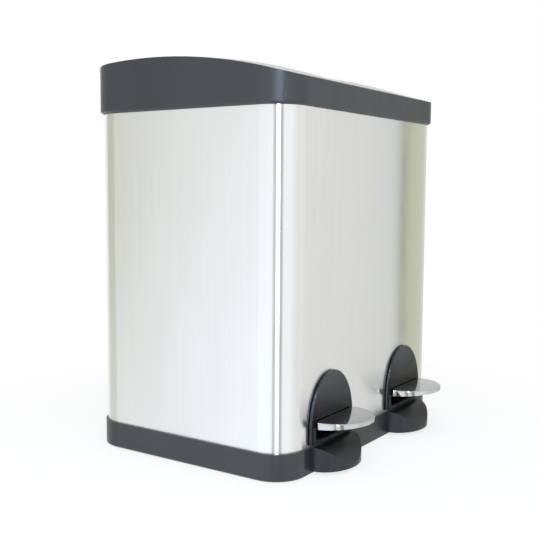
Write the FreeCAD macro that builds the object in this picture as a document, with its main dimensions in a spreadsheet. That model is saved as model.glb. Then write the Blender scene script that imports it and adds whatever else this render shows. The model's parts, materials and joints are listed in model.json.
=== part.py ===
import FreeCAD, Part
import math
import os
import re

import Sketcher
from FreeCAD import Rotation, Vector

# Twin pedal bin: a steel sleeve on a plastic base, a plastic collar with two domed lids, two buckets inside.
# Millimetres. +X is to the right as the user faces the pedals, the pedals point to -Y, +Z is up, and the
# floor is at Z = 0. Pieces are drawn about the sleeve's middle and set back by shell_y, so that the origin
# is under the middle of the whole object.

doc = FreeCAD.newDocument("TwinPedalBin")
sheet = doc.addObject("Spreadsheet::Sheet", "Sizes")

sizes = [
    # steel sleeve
    ("sleeve_width", 390),
    ("sleeve_depth", 290),
    ("sleeve_radius", 36.6),
    ("sheet_gauge", 0.6),
    ("sleeve_top", 430.5),
    # base moulding
    ("base_stand", 1),
    ("base_top", 32.5),
    ("base_floor", 5),
    ("base_overhang", 2.75),
    ("base_wall", 5.6),
    ("base_bevel", 1.5),
    ("groove_depth", 5),
    ("groove_gap", 0.1),
    ("toe_half_width", 45),
    ("toe_reach", 32.5),
    ("toe_stand", 4),
    ("toe_tip", 6.5),
    ("toe_wall", 4),
    ("toe_overlap", 4),
    ("toe_recess_end", 7.1),
    ("rib_gauge", 4),
    ("rib_corner", 1),
    ("rib_front_inset", 9),
    ("rib_rear_inset", 12),
    ("pad_radius", 10),
    ("pad_recess", 2),
    ("pad_side_inset", 35),
    ("pad_end_inset", 33),
    # collar
    ("collar_overhang", 5),
    ("collar_lap", 11.8),
    ("collar_rise", 61.4),
    ("collar_bevel", 4.2),
    ("collar_bevel_depth", 2.73),
    ("collar_skin", 2.6),
    ("collar_wall", 4.7),
    ("summit_y", 57.6),
    ("arch_radius", 720),
    ("side_rail", 13.7),
    ("centre_rail", 16.6),
    ("front_rail", 18),
    ("rear_rail", 19),
    ("well_radius", 26),
    ("bay_corner", 2),
    ("rear_lip", 4),
    ("rear_lip_drop", 7.5),
    ("bay_depth", 10),
    ("beam_gauge", 5.5),
    ("beam_overlap", 2),
    ("cam_slot_gap", 2),
    ("cam_slot_depth", 4),
    # lids
    ("lid_gap", 1.2),
    ("lid_rear_gap", 1),
    ("lid_rear_corner", 6),
    ("lid_gauge", 0.8),
    ("lid_flange", 4),
    ("crown", 7.3),
    ("liner_gap", 0.1),
    ("liner_gauge", 2.2),
    ("liner_depth", 8),
    ("liner_root", 0.5),
    ("buffer_radius", 3),
    ("buffer_height", 4),
    ("buffer_inset", 12),
    ("ledge_half_width", 8),
    ("ledge_gauge", 3),
    # lid hinges
    ("hinge_inset", 12),
    ("hinge_drop", 15.1),
    ("hinge_pin_radius", 2.5),
    ("knuckle_radius", 5),
    ("arm_inset", 27),
    ("arm_gauge", 10),
    ("arm_root", 10),
    ("ear_inset", 16),
    ("ear_gauge", 8),
    ("lobe_gauge", 8),
    ("lobe_radius", 19),
    ("lobe_drop", 30),
    ("lobe_back", 9),
    ("lobe_toe", 2),
    ("lobe_toe_rise", 3),
    ("lobe_margin", 4),
    ("lid_travel", 75),
    ("running_gap", 0.06),
    ("seat_gap", 0.3),
    # buckets
    ("bucket_lift", 2.5),
    ("bucket_drop", 8.7),
    ("bucket_side_gap", 9),
    ("bucket_front_gap", 11),
    ("bucket_rod_gap", 11),
    ("bucket_draft", 6),
    ("bucket_wall", 1.8),
    ("bucket_radius", 24),
    ("flange_reach", 2.5),
    ("flange_drop", 7),
    ("bail_reach", 58),
    ("bail_wire", 2),
    ("bail_bend", 14),
    ("bail_crank", 2.8),
    ("grip_radius", 6),
    ("grip_length", 70),
    ("lug_gap", 1),
    ("lug_gauge", 3),
    ("lug_radius", 5),
    ("lug_flare", 0.5),
    ("web_half_width", 6),
    # pedals
    ("pedal_reach", 54.5),
    ("pedal_belly", 10.5),
    ("pedal_height", 24),
    ("pedal_skirt", 8.7),
    ("pedal_lip", 4.8),
    ("pedal_gauge", 1.2),
    ("pedal_half_width", 45.2),
    ("pedal_neck", 38.5),
    ("pedal_waist", 1),
    ("pedal_tail", 8),
    ("pedal_lap", 4),
    ("pedal_edge", 1.6),
    ("slot_half_width", 40),
    ("slot_rise", 6),
    ("slot_room", 0.8),
    ("slot_corner", 3),
    ("surround_half_width", 48),
    ("surround_gap", 2),
    ("surround_side", 18.5),
    ("surround_rise", 62),
    ("surround_depth", 5.2),
    ("surround_bevel", 1.6),
    ("surround_hollow", 3.4),
    ("surround_rim", 9),
    ("hollow_inset", 2),
    ("hollow_foot", 3),
    ("hollow_shoulder", 14),
    # levers and push rods
    ("axle_inset", 82),
    ("axle_rise", 21),
    ("axle_radius", 3),
    ("axle_end", 3),
    ("clip_gauge", 1.2),
    ("clip_reach", 3),
    ("clip_gap", 0.2),
    ("hub_radius", 6),
    ("hub_length", 54),
    ("hub_play", 3),
    ("strap_gauge", 3),
    ("strap_width", 30),
    ("strap_tip_inset", 12),
    ("strap_bend_inset", 18),
    ("knee_reach", 28),
    ("knee_rise", 3),
    ("nose_radius", 4),
    ("nose_rise", 9),
    ("rest_half_width", 8),
    ("rest_half_depth", 5),
    ("rest_corner", 2),
    ("rod_radius", 3),
    ("shoe_radius", 6),
    ("shoe_length", 12),
    ("shoe_floor", 3),
    ("cap_radius", 5),
    ("cap_length", 11),
    ("cap_roof", 4),
    ("guide_half_width", 17),
    ("guide_flange", 6),
    ("guide_wall", 4),
    ("guide_nose", 6.5),
    ("guide_length", 10),
    ("guide_drop", 36.5),
    # fasteners
    ("screw_radius", 1.5),
    ("screw_head_radius", 3.2),
    ("screw_head", 2),
    ("guide_screw", 5),
    ("guide_screw_inset", 6),
    ("surround_screw", 3.8),
    ("surround_screw_drop", 8),
    ("collar_screw", 3.5),
    ("collar_screw_inset", 50),
    ("collar_screw_drop", 5.5),
    ("collar_screw_floor", 1.2),
    # how far a cut runs on past the material
    ("past", 5),
]
for row, (alias, value) in enumerate(sizes, 1):
    sheet.set(f"A{row}", alias)
    sheet.set(f"B{row}", str(value))
    sheet.setAlias(f"B{row}", alias)
doc.recompute()
aliases = {alias for alias, value in sizes}
values = {}

# Sizes and places that follow from the ones above, from the bottom of the bin to the top.
follows = {
    "sleeve_foot": "base_top - groove_depth",
    "collar_width": "sleeve_width + 2 * collar_overhang",
    "collar_depth": "sleeve_depth + 2 * collar_overhang",
    "collar_radius": "sleeve_radius + collar_overhang",
    "collar_bottom": "sleeve_top - collar_lap",
    "summit": "collar_bottom + collar_rise",
    "shell_y": "(pedal_tip - collar_depth / 2) / 2",
    "base_face": "sleeve_depth / 2 + base_overhang",
    "pad_x": "sleeve_width / 2 - pad_side_inset",
    "pad_y": "sleeve_depth / 2 - pad_end_inset",
    "lid_x": "(collar_width / 2 - side_rail + centre_rail / 2) / 2",
    "well_half_width": "(collar_width / 2 - side_rail - centre_rail / 2) / 2",
    "well_front": "collar_depth / 2 - front_rail",
    "well_rear": "collar_depth / 2 - rear_rail",
    "bay_rear": "collar_depth / 2 - rear_lip",
    "lid_rear": "bay_rear - lid_rear_gap",
    "hinge_y": "collar_depth / 2 - hinge_inset",
    "hinge_z": "summit - hinge_drop",
    "bay_floor": "hinge_z - bay_depth",
    "bay_wall_top": "hinge_z - rear_lip_drop",
    "beam_floor": "bay_floor - beam_gauge",
    "arm_x": "well_half_width - arm_inset",
    "ear_x": "well_half_width - ear_inset",
    "liner_top": "lid_gauge + liner_gap",
    "liner_side": "lid_gap + liner_top",
    "buffer_y": "well_front - liner_side - liner_gauge / 2",
    "rod_y": "hinge_y - lobe_radius",
    "cap_top": "hinge_z - lobe_drop - seat_gap",
    "shoe_bottom": "nose_z + nose_radius + seat_gap",
    "slot_bottom": "base_top + slot_rise",
    "slot_top": "pedal_top + slot_room",
    "pedal_x": "lid_x",
    "pedal_tip": "sleeve_depth / 2 + pedal_reach",
    "pedal_widest": "sleeve_depth / 2 + pedal_belly",
    "pedal_neck_end": "sleeve_depth / 2 + surround_depth + pedal_waist",
    "pedal_top": "slot_bottom + pedal_height",
    "strap_top": "pedal_top - pedal_gauge",
    "surround_bottom": "base_top + surround_gap",
    "surround_shoulder": "surround_bottom + surround_side",
    "surround_apex": "surround_shoulder + surround_rise",
    "surround_screw_x": "(slot_half_width + surround_half_width) / 2",
    "surround_screw_z": "surround_shoulder - surround_screw_drop",
    "bucket_floor": "pedal_top + bucket_lift",
    "bucket_top": "collar_bottom - bucket_drop",
    "bucket_half_width": "well_half_width - bucket_side_gap",
    "bucket_front": "well_front - bucket_front_gap",
    "bucket_rear": "rod_y - bucket_rod_gap",
    "bail_x": "bucket_half_width + flange_reach / 2 - bucket_wall / 2",
    "bail_y": "(bucket_rear - bucket_front) / 2",
    "bail_z": "bucket_top + bail_wire + seat_gap",
    "lug_x": "bucket_half_width + flange_reach + lug_gap",
    "rib_gap": "hub_length + 2 * hub_play",
    "rib_front": "bucket_front - rib_front_inset",
    "rib_rear": "bucket_rear - rib_rear_inset",
    "axle_y": "axle_inset - sleeve_depth / 2",
    "axle_z": "base_floor + axle_rise",
    "axle_half": "rib_gap / 2 + rib_gauge + axle_end",
    "nose_z": "base_floor + nose_rise",
    "guide_front": "rod_y - guide_nose",
    "guide_back": "sleeve_depth / 2 - sheet_gauge",
    "lower_guide": "bucket_floor",
    "upper_guide": "sleeve_top - guide_drop",
    "guide_screw_x": "guide_half_width - guide_screw_inset",
}
sides = (("left", -1), ("right", 1))


def bound(text):
    """The expression with every size spelled as the sheet's own cell."""
    return re.sub(r"[a-z_]+", lambda word: prefixed(word.group()), text)


def prefixed(word):
    if word in follows:
        return f"({bound(follows[word])})"
    return "Sizes." + word if word in aliases else word


def size(text):
    """The expression's value with the sheet's sizes."""
    if text not in values:
        values[text] = float(sheet.evalExpression(bound(text)))
    return values[text]


def archAt(y, drop="0"):
    """Height of the collar's arched top, lowered by drop, at a distance y from the sleeve's middle."""
    return f"(summit - {drop} - arch_radius + sqrt(arch_radius ^ 2 - ({y} - summit_y) ^ 2))"


# ---- drawing helpers ----


def setPlace(item, x, y="shell_y", z="0"):
    for axis, text in (("x", x), ("y", y), ("z", z)):
        item.setExpression(f"Placement.Base.{axis}", bound(text))


def newBody(label, x="0", many=False):
    body = doc.addObject("PartDesign::Body", "Body")
    body.Label = label
    body.AllowCompound = many
    setPlace(body, x)
    return body


def newSketch(body, role, offset="0"):
    """A sketch on the body's own plane, moved along that plane's normal (XZ_Plane's points to -Y)."""
    sketch = body.newObject("Sketcher::SketchObject", "Sketch")
    plane = next(item for item in body.Origin.OriginFeatures if item.Role == role)
    sketch.AttachmentSupport = [(plane, "")]
    sketch.MapMode = "FlatFace"
    sketch.setExpression("AttachmentOffset.Base.z", bound(offset))
    return sketch


def bind(sketch, kind, *args):
    """Add a constraint whose last argument is an expression of the sheet's sizes."""
    text = args[-1]
    index = sketch.addConstraint(Sketcher.Constraint(kind, *args[:-1], size(text)))
    sketch.setExpression(f"Constraints[{index}]", bound(text))


def fixPoint(sketch, geometry, end, x, y):
    bind(sketch, "DistanceX", -1, 1, geometry, end, x)
    bind(sketch, "DistanceY", -1, 1, geometry, end, y)


def drawCircle(sketch, x, y, radius):
    centre = Vector(size(x), size(y), 0)
    ring = sketch.addGeometry(Part.Circle(centre, Vector(0, 0, 1), size(radius)), False)
    bind(sketch, "Radius", ring, radius)
    fixPoint(sketch, ring, 3, x, y)


def addArc(sketch, start, crest, end):
    """An arc's number and which of its two ends, 1 or 2, lies at start. A sketch runs arcs anticlockwise."""
    leftward = (crest - start).cross(end - crest).z > 0
    arc = Part.Arc(start, crest, end) if leftward else Part.Arc(end, crest, start)
    return sketch.addGeometry(arc, False), 1 if leftward else 2


def drawOutline(sketch, points):
    """A closed outline of points (x, y), or (x, y, (mx, my)) where an arc over mx, my leads to the next."""
    places = [Vector(size(point[0]), size(point[1]), 0) for point in points]
    count = len(points)
    ids, firsts = [], {}
    for index, point in enumerate(points):
        start, end = places[index], places[(index + 1) % count]
        if len(point) == 2:
            ids.append(sketch.addGeometry(Part.LineSegment(start, end), False))
            continue
        crest = Vector(size(point[2][0]), size(point[2][1]), 0)
        number, first = addArc(sketch, start, crest, end)
        ids.append(number)
        firsts[index] = first
    ends = [(firsts.get(index, 1), 3 - firsts.get(index, 1)) for index in range(count)]
    for index, number in enumerate(ids):
        after = (index + 1) % count
        joint = Sketcher.Constraint("Coincident", number, ends[index][1], ids[after], ends[after][0])
        sketch.addConstraint(joint)
        fixPoint(sketch, number, ends[index][0], points[index][0], points[index][1])
        if len(points[index]) == 3:
            crestX, crestY = points[index][2]
            mark = sketch.addGeometry(Part.Point(Vector(size(crestX), size(crestY), 0)), True)
            fixPoint(sketch, mark, 1, crestX, crestY)
            sketch.addConstraint(Sketcher.Constraint("PointOnObject", mark, 1, number))


def drawPath(sketch, points, radii, closed):
    """Level and upright lines through the points, with a tangent arc of its own radius at each turn."""
    places = [Vector(size(x), size(y), 0) for x, y in points]
    count = len(points)
    turns = range(count) if closed else range(1, count - 1)
    starts, stops = dict(enumerate(places)), dict(enumerate(places))
    arcs = {}
    for turn in turns:
        before = (places[turn - 1] - places[turn]).normalize()
        after = (places[(turn + 1) % count] - places[turn]).normalize()
        radius = size(radii[turn])
        stops[turn] = places[turn] + before * radius
        starts[turn] = places[turn] + after * radius
        middle = places[turn] + (before + after) * radius
        crest = middle - (before + after).normalize() * radius
        arcs[turn] = (stops[turn], crest, starts[turn])
    lines = []
    for index in range(count if closed else count - 1):
        after = (index + 1) % count
        number = sketch.addGeometry(Part.LineSegment(starts[index], stops[after]), False)
        level = abs(places[index].y - places[after].y) < 1e-6
        sketch.addConstraint(Sketcher.Constraint("Horizontal" if level else "Vertical", number))
        if level:
            bind(sketch, "DistanceY", -1, 1, number, 1, points[index][1])
        else:
            bind(sketch, "DistanceX", -1, 1, number, 1, points[index][0])
        lines.append(number)
    for turn, ends in arcs.items():
        number, first = addArc(sketch, *ends)
        sketch.addConstraint(Sketcher.Constraint("Tangent", lines[turn - 1], 2, number, first))
        sketch.addConstraint(Sketcher.Constraint("Tangent", number, 3 - first, lines[turn], 1))
        bind(sketch, "Radius", number, radii[turn])
    if not closed:
        bind(sketch, "DistanceX", -1, 1, lines[0], 1, points[0][0])
        bind(sketch, "DistanceX", -1, 1, lines[-1], 2, points[-1][0])


def drawRounded(sketch, left, right, low, high, radius):
    corners = [(left, low), (right, low), (right, high), (left, high)]
    drawPath(sketch, corners, [radius] * 4, True)


def drawRing(sketch, width, depth, radius, inset, wall=None):
    """A rounded oblong about the sleeve's middle, drawn in by inset, and a second one if it has a wall."""
    for step in [inset] if wall is None else [inset, f"{inset} + {wall}"]:
        half, deep = f"({width} / 2 - ({step}))", f"({depth} / 2 - ({step}))"
        drawRounded(sketch, f"-{half}", half, f"-{deep}", deep, f"{radius} - ({step})")


def drawHalfEllipse(sketch, x, y, half, reach, up):
    """The upper or lower half of an ellipse about x, y. It runs anticlockwise, from 1 to 2."""
    wide, long = size(half), size(reach)
    tall = long > wide
    centre = Vector(size(x), size(y), 0)
    major = Vector(0, long, 0) if tall else Vector(wide, 0, 0)
    minor = Vector(-wide, 0, 0) if tall else Vector(0, long, 0)
    begin = (-math.pi / 2 if tall else 0) + (0 if up else math.pi)
    oval = Part.Ellipse(centre + major, centre + minor, centre)
    arc = sketch.addGeometry(Part.ArcOfEllipse(oval, begin, begin + math.pi), False)
    axis = sketch.GeometryCount
    sketch.exposeInternalGeometry(arc)
    fixPoint(sketch, arc, 3, x, y)
    sketch.addConstraint(Sketcher.Constraint("Vertical" if tall else "Horizontal", axis))
    bind(sketch, "Distance", axis, f"2 * ({reach if tall else half})")
    bind(sketch, "Distance", axis + 1, f"2 * ({half if tall else reach})")
    for end in (1, 2):
        bind(sketch, "DistanceY", -1, 1, arc, end, y)
    return arc


def closeBehind(sketch, arc, corners):
    """Straight lines from the arc's end through the corners and back to its start."""
    places = [Vector(size(x), size(y), 0) for x, y in corners]
    drawn = sketch.Geometry[arc]
    stops = [drawn.EndPoint, *places, drawn.StartPoint]
    last, end = arc, 2
    for index in range(len(stops) - 1):
        line = sketch.addGeometry(Part.LineSegment(stops[index], stops[index + 1]), False)
        sketch.addConstraint(Sketcher.Constraint("Coincident", last, end, line, 1))
        if index < len(corners):
            fixPoint(sketch, line, 2, *corners[index])
        last, end = line, 2
    sketch.addConstraint(Sketcher.Constraint("Coincident", last, 2, arc, 1))


def drawHalfOval(sketch, half, foot, shoulder, apex):
    """A level foot, two upright sides and half an ellipse from shoulder to apex."""
    arc = drawHalfEllipse(sketch, "0", shoulder, half, f"({apex} - ({shoulder}))", True)
    closeBehind(sketch, arc, [(f"-({half})", foot), (half, foot)])


# ---- solid helpers ----


def addPad(body, sketch, length, backwards=False):
    pad = body.newObject("PartDesign::Pad", "Pad")
    pad.Profile = sketch
    pad.Reversed = backwards
    pad.setExpression("Length", bound(length))
    doc.recompute()
    if "Invalid" in pad.State:
        raise ValueError(f"a pad of {body.Label} fails")
    return pad


def addPocket(body, sketch, length, backwards=False):
    """Cuts against the sketch's normal, or along it when backwards is set."""
    before = body.Shape.Volume
    pocket = body.newObject("PartDesign::Pocket", "Pocket")
    pocket.Profile = sketch
    pocket.Reversed = backwards
    pocket.setExpression("Length", bound(length))
    doc.recompute()
    if before - body.Shape.Volume < 1e-3:
        raise ValueError(f"a pocket of {body.Label} cuts nothing")
    return pocket


def dress(body, kind, amount, choose):
    """Fillet or chamfer the edges of the body's tip that choose accepts."""
    base = body.Tip
    names = [f"Edge{number}" for number, edge in enumerate(base.Shape.Edges, 1) if choose(edge)]
    if not names:
        raise ValueError(f"no edge of {body.Label} fits its {kind}")
    feature = body.newObject(f"PartDesign::{kind}", kind)
    feature.Base = (base, names)
    feature.setExpression("Radius" if kind == "Fillet" else "Size", bound(amount))
    doc.recompute()
    return feature


def flatAt(axis, level):
    """Accepts an edge that lies wholly at one level of one axis."""

    def choose(edge):
        box = edge.BoundBox
        low, high = getattr(box, axis + "Min"), getattr(box, axis + "Max")
        return abs(low - level) < 0.01 and abs(high - level) < 0.01

    return choose


def boltCircles(sketch, places, radius):
    for x, y in places:
        drawCircle(sketch, x, y, radius)


def rod(label, alongX, radius, length, x, y, z):
    """A plain round bar. Its first end is at x, y, z."""
    bar = doc.addObject("Part::Cylinder", "Bar")
    bar.Label = label
    bar.setExpression("Radius", bound(radius))
    bar.setExpression("Height", bound(length))
    if alongX:
        bar.Placement = FreeCAD.Placement(Vector(), Rotation(Vector(0, 1, 0), 90))
    setPlace(bar, x, f"shell_y + {y}", z)
    doc.recompute()
    return bar


def combine(kind, label, items):
    """A boolean of finished objects: Part::Cut takes two, the others take a list."""
    made = doc.addObject(kind, "Combined")
    made.Label = label
    if kind == "Part::MultiFuse":
        made.Shapes = items
    else:
        made.Base, made.Tool = items
    doc.recompute()
    return made


# ---- sleeve ----


def guideScrews():
    levels = ("lower_guide + guide_length / 2", "upper_guide + guide_length / 2")
    return [
        (f"{sign} * pedal_x + {step} * guide_screw_x", level)
        for side, sign in sides
        for level in levels
        for step in (-1, 1)
    ]


def surroundScrews():
    return [
        (f"{sign} * pedal_x + {step} * surround_screw_x", "surround_screw_z")
        for side, sign in sides
        for step in (-1, 1)
    ]


def collarScrews():
    return [
        (f"{step} * (sleeve_depth / 2 - collar_screw_inset)", "sleeve_top - collar_screw_drop")
        for step in (-1, 1)
    ]


def makeSleeve():
    body = newBody("steel_sleeve")
    plan = newSketch(body, "XY_Plane", "sleeve_foot")
    drawRing(plan, "sleeve_width", "sleeve_depth", "sleeve_radius", "0", "sheet_gauge")
    addPad(body, plan, "sleeve_top - sleeve_foot")
    front = newSketch(body, "XZ_Plane", "sleeve_depth / 2 + past")
    for side, sign in sides:
        left = f"{sign} * pedal_x - slot_half_width"
        right = f"{sign} * pedal_x + slot_half_width"
        drawRounded(front, left, right, "slot_bottom", "slot_top", "slot_corner")
    boltCircles(front, surroundScrews(), "screw_radius")
    addPocket(body, front, "2 * past")
    rear = newSketch(body, "XZ_Plane", "-(sleeve_depth / 2 + past)")
    boltCircles(rear, guideScrews(), "screw_radius")
    addPocket(body, rear, "2 * past", True)
    flank = newSketch(body, "YZ_Plane", "-(sleeve_width / 2 + past)")
    boltCircles(flank, collarScrews(), "screw_radius")
    addPocket(body, flank, "sleeve_width + 2 * past", True)


# ---- base ----


def toeArc(shrink="0"):
    """Where the toe's curved top starts at the base and ends at the tip, in Y and Z, drawn in by shrink."""
    start = ("-base_face", f"base_top - ({shrink})")
    tip = (f"-(base_face + toe_reach - ({shrink}))", f"toe_tip - ({shrink}) / 2")
    # The curve is an arc that leaves the base level, so its radius follows from its reach and drop.
    reach, drop = "toe_reach", "(base_top - toe_tip)"
    radius = f"(({reach} ^ 2 + {drop} ^ 2) / (2 * {drop}))"
    part = "0.55"
    crest = (
        f"-(base_face + {part} * ({reach} - ({shrink})))",
        f"base_top - ({shrink}) - {radius} + sqrt({radius} ^ 2 - ({part} * {reach}) ^ 2)",
    )
    return start, crest, tip


def makeBase():
    body = newBody("base_moulding")
    plan = newSketch(body, "XY_Plane", "base_stand")
    drawRing(plan, "sleeve_width", "sleeve_depth", "sleeve_radius", "-base_overhang")
    addPad(body, plan, "base_top - base_stand")
    for side, sign in sides:
        toe = newSketch(body, "XY_Plane", "toe_stand")
        drawToe(toe, f"{sign} * pedal_x")
        addPad(body, toe, "base_top - toe_stand")
    start, crest, tip = toeArc()
    over = newSketch(body, "YZ_Plane", "-sleeve_width / 2")
    beyond = "-(base_face + toe_reach + past)"
    drawOutline(
        over,
        [
            (start[0], start[1], crest),
            tip,
            (beyond, tip[1]),
            (beyond, "base_top + past"),
            (start[0], "base_top + past"),
        ],
    )
    addPocket(body, over, "sleeve_width", True)
    dress(body, "Chamfer", "base_bevel", flatAt("Z", size("base_stand")))
    groove = newSketch(body, "XY_Plane", "base_top")
    wall = "sheet_gauge + 2 * groove_gap"
    drawRing(groove, "sleeve_width", "sleeve_depth", "sleeve_radius", "-groove_gap", wall)
    addPocket(body, groove, "groove_depth")
    inside = newSketch(body, "XY_Plane", "base_top")
    drawRing(inside, "sleeve_width", "sleeve_depth", "sleeve_radius", "base_wall - base_overhang")
    addPocket(body, inside, "base_top - base_floor")
    for side, sign in sides:
        hollowToe(body, sign)
    ribs = newSketch(body, "XY_Plane", "base_floor")
    for side, sign in sides:
        for step in (-1, 1):
            middle = f"({sign} * pedal_x + {step} * (rib_gap + rib_gauge) / 2)"
            left, right = f"{middle} - rib_gauge / 2", f"{middle} + rib_gauge / 2"
            drawRounded(ribs, left, right, "-rib_front", "rib_rear", "rib_corner")
    addPad(body, ribs, "bucket_floor - base_floor")
    axles = newSketch(body, "YZ_Plane", "-(pedal_x + rib_gap)")
    drawCircle(axles, "axle_y", "axle_z", "axle_radius")
    addPocket(body, axles, "2 * (pedal_x + rib_gap)", True)
    feet = newSketch(body, "XY_Plane", "base_stand")
    boltCircles(feet, padPlaces(), "pad_radius + groove_gap")
    addPocket(body, feet, "pad_recess", True)


def drawToe(sketch, x):
    """Half an ellipse in front of the base, with its flat back a little inside it."""
    arc = drawHalfEllipse(sketch, x, "-base_face", "toe_half_width", "toe_reach", False)
    back = "toe_overlap - base_face"
    closeBehind(sketch, arc, [(f"{x} + toe_half_width", back), (f"{x} - toe_half_width", back)])


def hollowToe(body, sign):
    """The recess under a toe, open below, as wide as the toe's narrow end leaves room for."""
    start, crest, tip = toeArc("toe_wall")
    half = "(toe_half_width / 2)"
    under = newSketch(body, "YZ_Plane", f"{sign} * pedal_x - {half}")
    back, end = "toe_overlap / 2 - base_face", "toe_recess_end - base_face - toe_reach"
    drawOutline(
        under,
        [
            (back, "0"),
            (back, start[1]),
            (start[0], start[1], crest),
            (end, "(base_top + toe_tip) / 2 - toe_wall"),
            (end, "0"),
        ],
    )
    addPocket(body, under, f"2 * {half}", True)


def padPlaces():
    return [(f"{across} * pad_x", f"{along} * pad_y") for across in (-1, 1) for along in (-1, 1)]


def makePads():
    body = newBody("rubber_feet", many=True)
    plan = newSketch(body, "XY_Plane")
    boltCircles(plan, padPlaces(), "pad_radius")
    addPad(body, plan, "base_stand + pad_recess")


# ---- collar ----


def wellEdges(grow="0"):
    half = f"(well_half_width + {grow})"
    return f"-{half}", half, f"-(well_front + {grow})", f"well_rear + {grow}", f"well_radius + {grow}"


def makeCollar():
    outer = newBody("collar_outside")
    plan = newSketch(outer, "XY_Plane", "collar_bottom")
    drawRing(plan, "collar_width", "collar_depth", "collar_radius", "0")
    addPad(outer, plan, "summit + past / 2 - collar_bottom")
    above = newSketch(outer, "YZ_Plane", "-(collar_width / 2 + past)")
    drawArchTop(above)
    addPocket(outer, above, "collar_width + 2 * past", True)
    edge = dress(outer, "Chamfer", "collar_bevel_depth", flatAt("Z", size("collar_bottom")))
    edge.ChamferType = "Two distances"
    edge.setExpression("Size2", bound("collar_bevel"))
    doc.recompute()
    for side, sign in sides:
        cutWell(outer, sign)
    addEars(outer)
    screws = newSketch(outer, "YZ_Plane", "collar_screw_floor - collar_width / 2")
    boltCircles(screws, collarScrews(), "screw_radius")
    addPocket(outer, screws, "collar_width - 2 * collar_screw_floor", True)

    inner = newBody("collar_inside")
    core = newSketch(inner, "XY_Plane", "collar_bottom - past")
    drawRing(core, "collar_width", "collar_depth", "collar_radius", "collar_wall")
    for side, sign in sides:
        left, right, low, high, radius = wellEdges("collar_skin")
        middle = f"{sign} * lid_x"
        drawRounded(core, f"{middle} + {left}", f"{middle} + {right}", low, high, radius)
    addPad(inner, core, "summit + past - collar_bottom")
    lower = newSketch(inner, "YZ_Plane", "-(collar_width / 2 + past)")
    end, step = "collar_depth / 2 + past", "well_rear - beam_overlap"
    drawOutline(
        lower,
        [
            (f"-({end})", archAt(f"-({end})", "collar_skin"), ("0", archAt("0", "collar_skin"))),
            (step, archAt(step, "collar_skin")),
            (step, "beam_floor"),
            (end, "beam_floor"),
            (end, "summit + past"),
            (f"-({end})", "summit + past"),
        ],
    )
    addPocket(inner, lower, "collar_width + 2 * past", True)
    combine("Part::Cut", "collar", [outer, inner])


def drawArchTop(sketch):
    """Everything above the arch."""
    end = "collar_depth / 2 + past"
    drawOutline(
        sketch,
        [
            (f"-({end})", archAt(f"-({end})"), ("0", archAt("0"))),
            (end, archAt(end)),
            (end, "summit + past"),
            (f"-({end})", "summit + past"),
        ],
    )


def cutWell(body, sign):
    """One lid's well, with two ledges for its buffers, the hinge bay behind it and the cam's slot."""
    left, right, low, high, radius = wellEdges()
    left, right = f"{sign} * lid_x + {left}", f"{sign} * lid_x + {right}"
    slotHalf, slotFloor = "(lobe_gauge / 2 + cam_slot_gap)", "hinge_z - lobe_drop - cam_slot_depth"
    slotLeft, slotRight = f"{sign} * pedal_x - {slotHalf}", f"{sign} * pedal_x + {slotHalf}"
    cuts = [
        (left, right, low, high, radius, "collar_bottom - past"),
        (left, right, "0", "bay_rear", "bay_corner", "bay_floor"),
        (left, right, "0", "collar_depth / 2 + past", "bay_corner", "bay_wall_top"),
        (slotLeft, slotRight, "0", "hinge_y + knuckle_radius", "rib_corner", slotFloor),
    ]
    for left, right, low, high, radius, floor in cuts:
        cut = newSketch(body, "XY_Plane", "summit + past")
        drawRounded(cut, left, right, low, high, radius)
        addPocket(body, cut, f"summit + past - ({floor})")
    ledge = newSketch(body, "XY_Plane", f"{bufferTop()} - buffer_height - ledge_gauge")
    for x in bufferPlaces(sign):
        left, right = f"{x} - ledge_half_width", f"{x} + ledge_half_width"
        drawRounded(ledge, left, right, "-(well_front + 1)", "ledge_half_width - well_front", "rib_corner")
    addPad(body, ledge, "ledge_gauge")


def bufferPlaces(sign):
    return [f"({sign} * lid_x + {step} * (well_half_width - well_radius - buffer_inset))" for step in (-1, 1)]


def bufferTop():
    """Just under the lowest edge of the liner's front skirt."""
    return f"({archAt('-(well_front - liner_side)', 'liner_top')} - liner_depth - seat_gap)"


def addEars(body):
    """Two lugs in each bay hold the ends of that lid's hinge pin."""
    for side, sign in sides:
        for step in (-1, 1):
            near = f"({sign} * lid_x + {step} * ear_x)"
            ear = newSketch(body, "YZ_Plane", f"{near} - ear_gauge / 2")
            top = ("hinge_y", "hinge_z + knuckle_radius")
            drawOutline(
                ear,
                [
                    ("hinge_y + knuckle_radius", "bay_floor - beam_gauge / 2"),
                    ("hinge_y + knuckle_radius", "hinge_z", top),
                    ("hinge_y - knuckle_radius", "hinge_z"),
                    ("hinge_y - knuckle_radius", "bay_floor - beam_gauge / 2"),
                ],
            )
            addPad(body, ear, "ear_gauge")
            hole = newSketch(body, "YZ_Plane", f"{near} - ear_gauge / 2 - past")
            drawCircle(hole, "hinge_y", "hinge_z", "hinge_pin_radius")
            addPocket(body, hole, "ear_gauge + 2 * past", True)


def makeBuffers():
    body = newBody("lid_buffers", many=True)
    plan = newSketch(body, "XY_Plane", f"{bufferTop()} - buffer_height")
    for side, sign in sides:
        for x in bufferPlaces(sign):
            drawCircle(plan, x, "-buffer_y", "buffer_radius")
    addPad(body, plan, "buffer_height")


# ---- lids ----


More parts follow.
